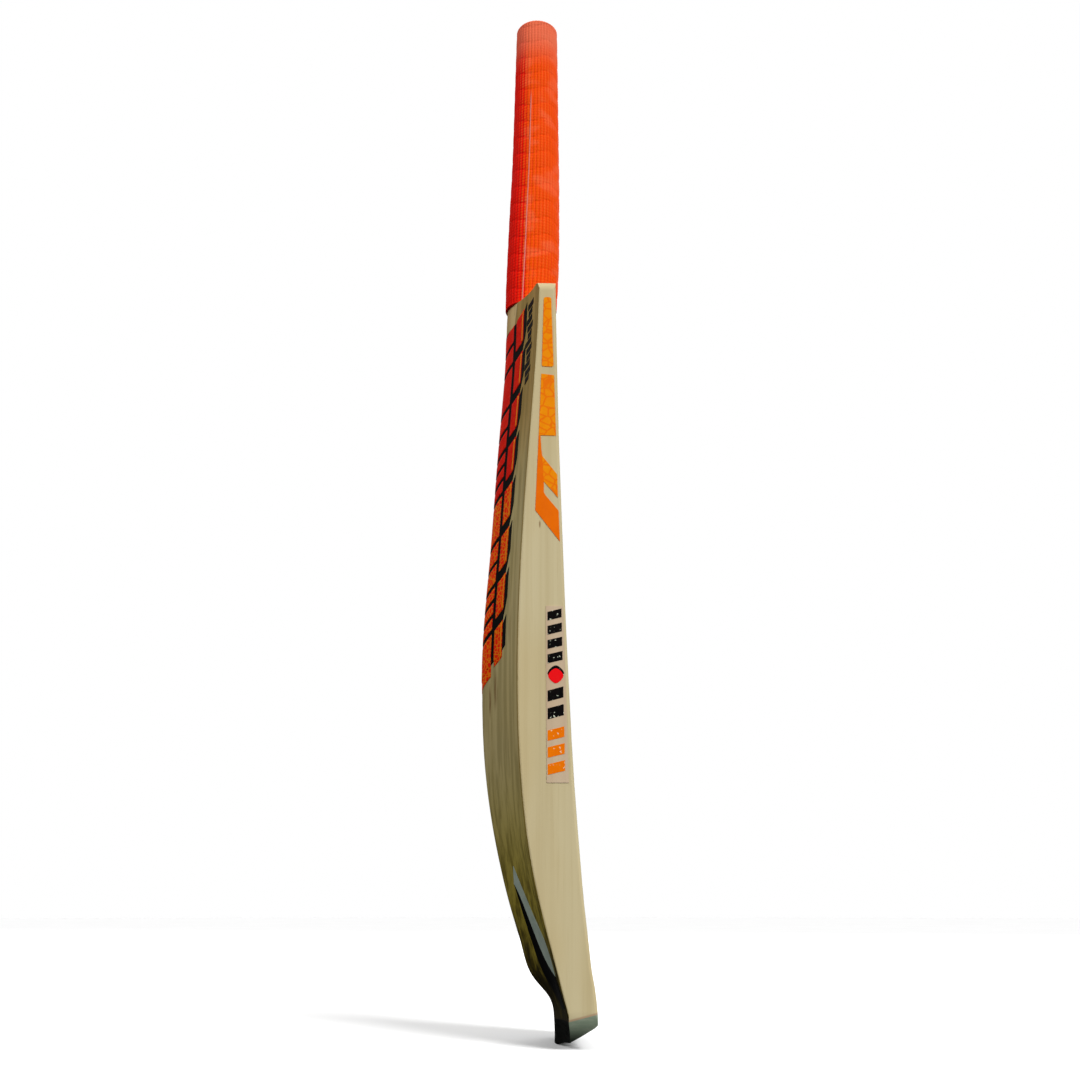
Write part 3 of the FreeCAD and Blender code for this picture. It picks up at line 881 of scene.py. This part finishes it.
def step_shapes(step):
    """The blocks printed in one step of the spine label: outer bars, then bands over the ridge."""
    top, bottom = step_heights(step)
    shapes = []
    for side in (1, -1):
        shapes.append(slanted(BAR_INNER, BAR_OUTER, top, bottom + BAR_SHORTER, side))
    count = BANDS_IN_STEP[step]
    height = (top - bottom - BAND_GAP * (count - 1)) / count
    for band in range(count):
        high = top - band * (height + BAND_GAP)
        right = slanted(0.0, BAND_OUTER, high, high - height, 1)
        left = slanted(0.0, BAND_OUTER, high, high - height, -1)
        # Right half from the ridge's foot outwards and up, then the left half back to it
        shapes.append(right + left[1:3])
    return shapes


def highlight(step, side):
    """The thin bright line inside one outer bar."""
    top, bottom = step_heights(step)
    outer = BAR_OUTER - GLOW_INSET
    foot = bottom + BAR_SHORTER + GLOW_END
    return slanted(outer - GLOW_WIDTH, outer, top - GLOW_END, foot, side)


def make_spine_print():
    red = [shape for step in range(RED_STEPS) for shape in step_shapes(step)]
    ember = [shape for step in range(RED_STEPS, STEP_COUNT) for shape in step_shapes(step)]
    lines = [highlight(step, side) for step in range(STEP_COUNT) for side in (1, -1)]
    back_print("spine_print_red", red, PRINT_LIFT, MATERIALS["red"])
    back_print("spine_print_ember", ember, PRINT_LIFT, MATERIALS["ember"])
    back_print("spine_print_lines", lines, GLOW_LIFT, MATERIALS["glow"])


FILM_PRINT = 0.12 * MM
LOZENGE_PRINT = 0.2 * MM
MARK_REAR = FILM_LOW.y + 1.2 * MM
MARK_FRONT = FILM_LOW.y + 11.2 * MM
MARK_DRIFT = 2.2 * MM
MARK_FILL = 0.62
MARK_LEAN = 0.25
# Rows of bars down the film: (start and end as shares of its length, number of bars)
DARK_ROWS = [(0.015, 0.345, 4), (0.465, 0.665, 2)]
ORANGE_ROWS = [(0.69, 0.97, 3)]
LOZENGE_DOWN = 0.405
LOZENGE_OFFSET = 0.8 * MM
LOZENGE_SIZE = 5.4 * MM
LOZENGE_POINTS = 32
LOZENGE_POWER = 1.5
SHADOW_SIZE = 5.9 * MM
SHADOW_RISE = 1.6 * MM


def add_plate(bm, outline, inner, outer):
    """A flat plate on an edge of the bat, from (depth, height) corners, between two widths."""
    near = [bm.verts.new((inner, y, z)) for y, z in outline]
    far = [bm.verts.new((outer, y, z)) for y, z in outline]
    bm.faces.new(near)
    bm.faces.new(far)
    for i in range(len(outline)):
        j = (i + 1) % len(outline)
        bm.faces.new((near[i], near[j], far[j], far[i]))


def edge_print(name, outlines, side, material, thickness=FILM_PRINT):
    bm = bmesh.new()
    inner = side * FILM_HIGH.x
    for outline in outlines:
        add_plate(bm, outline, inner, inner + side * thickness)
    new_piece(name, bm, material, smooth=False)


def film_bars(rows):
    """Leaning bars down the film, which reach further to the front the lower they are."""
    length = FILM_HIGH.z - FILM_LOW.z
    bars = []
    for start, end, count in rows:
        pitch = (end - start) * length / count
        lean = MARK_LEAN * pitch
        for i in range(count):
            down = start * length + i * pitch
            high = FILM_HIGH.z - down
            low = high - MARK_FILL * pitch
            front = MARK_FRONT + MARK_DRIFT * down / length
            bars.append([
                (MARK_REAR, high - lean), (front, high), (front, low), (MARK_REAR, low - lean),
            ])
    return bars


def lozenge(depth, height, size):
    """A diamond with rounded corners."""
    outline = []
    for i in range(LOZENGE_POINTS):
        angle = TURN * i / LOZENGE_POINTS
        across, up = math.cos(angle), math.sin(angle)
        norm = abs(across) ** LOZENGE_POWER + abs(up) ** LOZENGE_POWER
        reach = size / norm ** (1 / LOZENGE_POWER)
        outline.append((depth + reach * across, height + reach * up))
    return outline


def make_film_print():
    """Plain marks on the clear edge film: dark bars, a red lozenge on a dark one, orange bars."""
    depth = (MARK_REAR + MARK_FRONT) / 2 + LOZENGE_OFFSET
    height = FILM_HIGH.z - LOZENGE_DOWN * (FILM_HIGH.z - FILM_LOW.z)
    dark = film_bars(DARK_ROWS) + [lozenge(depth, height + SHADOW_RISE, SHADOW_SIZE)]
    red = [lozenge(depth, height, LOZENGE_SIZE)]
    orange = film_bars(ORANGE_ROWS)
    for side, end in ((1, "right"), (-1, "left")):
        edge_print("film_print_dark_" + end, dark, side, MATERIALS["film_black"])
        edge_print("film_print_lozenge_" + end, red, side, MATERIALS["film_red"], LOZENGE_PRINT)
        edge_print("film_print_orange_" + end, orange, side, MATERIALS["film_orange"])


# ---------------------------------------------------------------- CAD nodes

# The material of each CAD node that is there once, and of each that is on both sides
SINGLE_NODES = {
    "blade": "willow",
    "toe_guard": "guard",
    "twine_binding": "twine",
    "grip": "grip",
    "spring_front": "spring",
    "spring_middle": "spring",
    "spring_rear": "spring",
    "spine_label": "black",
    "flank_strokes": "black",
}
PAIRED_NODES = {
    "edge_bar_upper": "amber",
    "edge_bar_lower": "amber",
    "edge_inset": "amber",
    "edge_slash": "orange",
    "edge_film": "film",
    "flash_silver": "silver",
    "flash_black": "black",
}


def finish_nodes():
    for node, material in SINGLE_NODES.items():
        cover(node, MATERIALS[material])
    for node, material in PAIRED_NODES.items():
        for end in ("_right", "_left"):
            cover(node + end, MATERIALS[material])
    for number, node in enumerate(CANES):
        cover(node, cane_material(node + "_wood", CANE_TONES[number % len(CANE_TONES)]))


# ---------------------------------------------------------------- room, light and camera

CAMERA_PLACE = (0.8456, -0.0265, 0.0890)
CAMERA_AZIMUTH = 88.0
CAMERA_PITCH = 15.5
CAMERA_LENS = 38.25
CAMERA_SENSOR = 36.0
CAMERA_SHIFT = 0.047
CAMERA_RANGE = (0.01, 100.0)


def make_camera():
    data = bpy.data.cameras.new("camera")
    data.sensor_width = CAMERA_SENSOR
    data.lens = CAMERA_LENS
    data.shift_y = CAMERA_SHIFT
    data.clip_start, data.clip_end = CAMERA_RANGE
    camera = bpy.data.objects.new("camera", data)
    camera.location = CAMERA_PLACE
    tilt = math.radians(90 + CAMERA_PITCH)
    camera.rotation_euler = (tilt, 0, math.radians(CAMERA_AZIMUTH))
    bpy.context.scene.collection.objects.link(camera)
    bpy.context.scene.camera = camera


def aimed_light(name, kind, place, target, power):
    data = bpy.data.lights.new(name, kind)
    data.energy = power
    light = bpy.data.objects.new(name, data)
    light.location = place
    aim = Vector(target) - Vector(place)
    light.rotation_euler = aim.to_track_quat("-Z", "Y").to_euler()
    bpy.context.scene.collection.objects.link(light)
    return data


# How bright the room is, from the direction's height: (low, high, brightness at low, at high)
SKY_RAMP = (-0.25, 0.9, 0.02, 0.42)
KEY_PLACE = (6.2, 5.0, 6.0)
KEY_POWER = 3.7
KEY_SPREAD = 25.0
# Square lights: (name, place, point it is aimed at, power, size)
SOFT_LIGHTS = [
    ("fill", (0.7, -1.5, 1.6), (0, 0, 0.6), 22.0, 1.5),
    ("left", (-2.6, 1.0, 2.0), (0, 0, 0.5), 48.0, 2.2),
]
FLOOR_RADIUS = 12.0
FLOOR_PALE = (0.98, 0.98, 0.98)
FLOOR_DULL = (0.96, 0.96, 0.96)


def make_world():
    """Soft light that grows stronger upwards; the camera itself sees plain white."""
    world = bpy.data.worlds.new("studio")
    bpy.context.scene.world = world
    world.use_nodes = True
    tree = world.node_tree
    background = tree.nodes["Background"]
    coords = tree.nodes.new("ShaderNodeTexCoord")
    split = tree.nodes.new("ShaderNodeSeparateXYZ")
    tree.links.new(coords.outputs["Generated"], split.inputs[0])
    ramp = tree.nodes.new("ShaderNodeMapRange")
    for socket, number in zip(ramp.inputs[1:5], SKY_RAMP):
        socket.default_value = number
    tree.links.new(split.outputs["Z"], ramp.inputs[0])
    seen = tree.nodes.new("ShaderNodeLightPath")
    mix = tree.nodes.new("ShaderNodeMix")
    tree.links.new(seen.outputs["Is Camera Ray"], mix.inputs[0])
    tree.links.new(ramp.outputs[0], mix.inputs[2])
    mix.inputs[3].default_value = 1.0
    background.inputs["Color"].default_value = (1, 1, 1, 1)
    tree.links.new(mix.outputs[0], background.inputs["Strength"])


def make_floor():
    """A matt white floor that throws no light back at the bat."""
    s = Shader("floor")
    cloud = s.noise(s.place, scale=3.0, detail=2.0)
    s.set(Base_Color=s.mix(s.smooth(cloud, *NOISE_SPAN), FLOOR_DULL, FLOOR_PALE))
    s.set(Roughness=0.9, Specular_IOR_Level=0.1)
    bm = bmesh.new()
    bmesh.ops.create_circle(bm, cap_ends=True, segments=96, radius=FLOOR_RADIUS)
    mesh = bpy.data.meshes.new("floor")
    bm.to_mesh(mesh)
    bm.free()
    ground = bpy.data.objects.new("floor", mesh)
    ground.location = (0, 0, GROUND)
    mesh.materials.append(s.material)
    bpy.context.scene.collection.objects.link(ground)
    ground.visible_diffuse = False
    ground.visible_glossy = False


def make_lights():
    """A soft sun from the front right, and square lights from behind and from the left."""
    key = aimed_light("key", "SUN", KEY_PLACE, (0, 0, 0), KEY_POWER)
    key.angle = math.radians(KEY_SPREAD)
    for name, place, target, power, size in SOFT_LIGHTS:
        light = aimed_light(name, "AREA", place, target, power)
        light.size = size


def make_everything():
    make_camera()
    make_world()
    make_floor()
    make_lights()
    finish_nodes()
    make_grip()
    make_spine_print()
    make_film_print()


make_everything()
bpy.context.scene.view_settings.view_transform = "Standard"
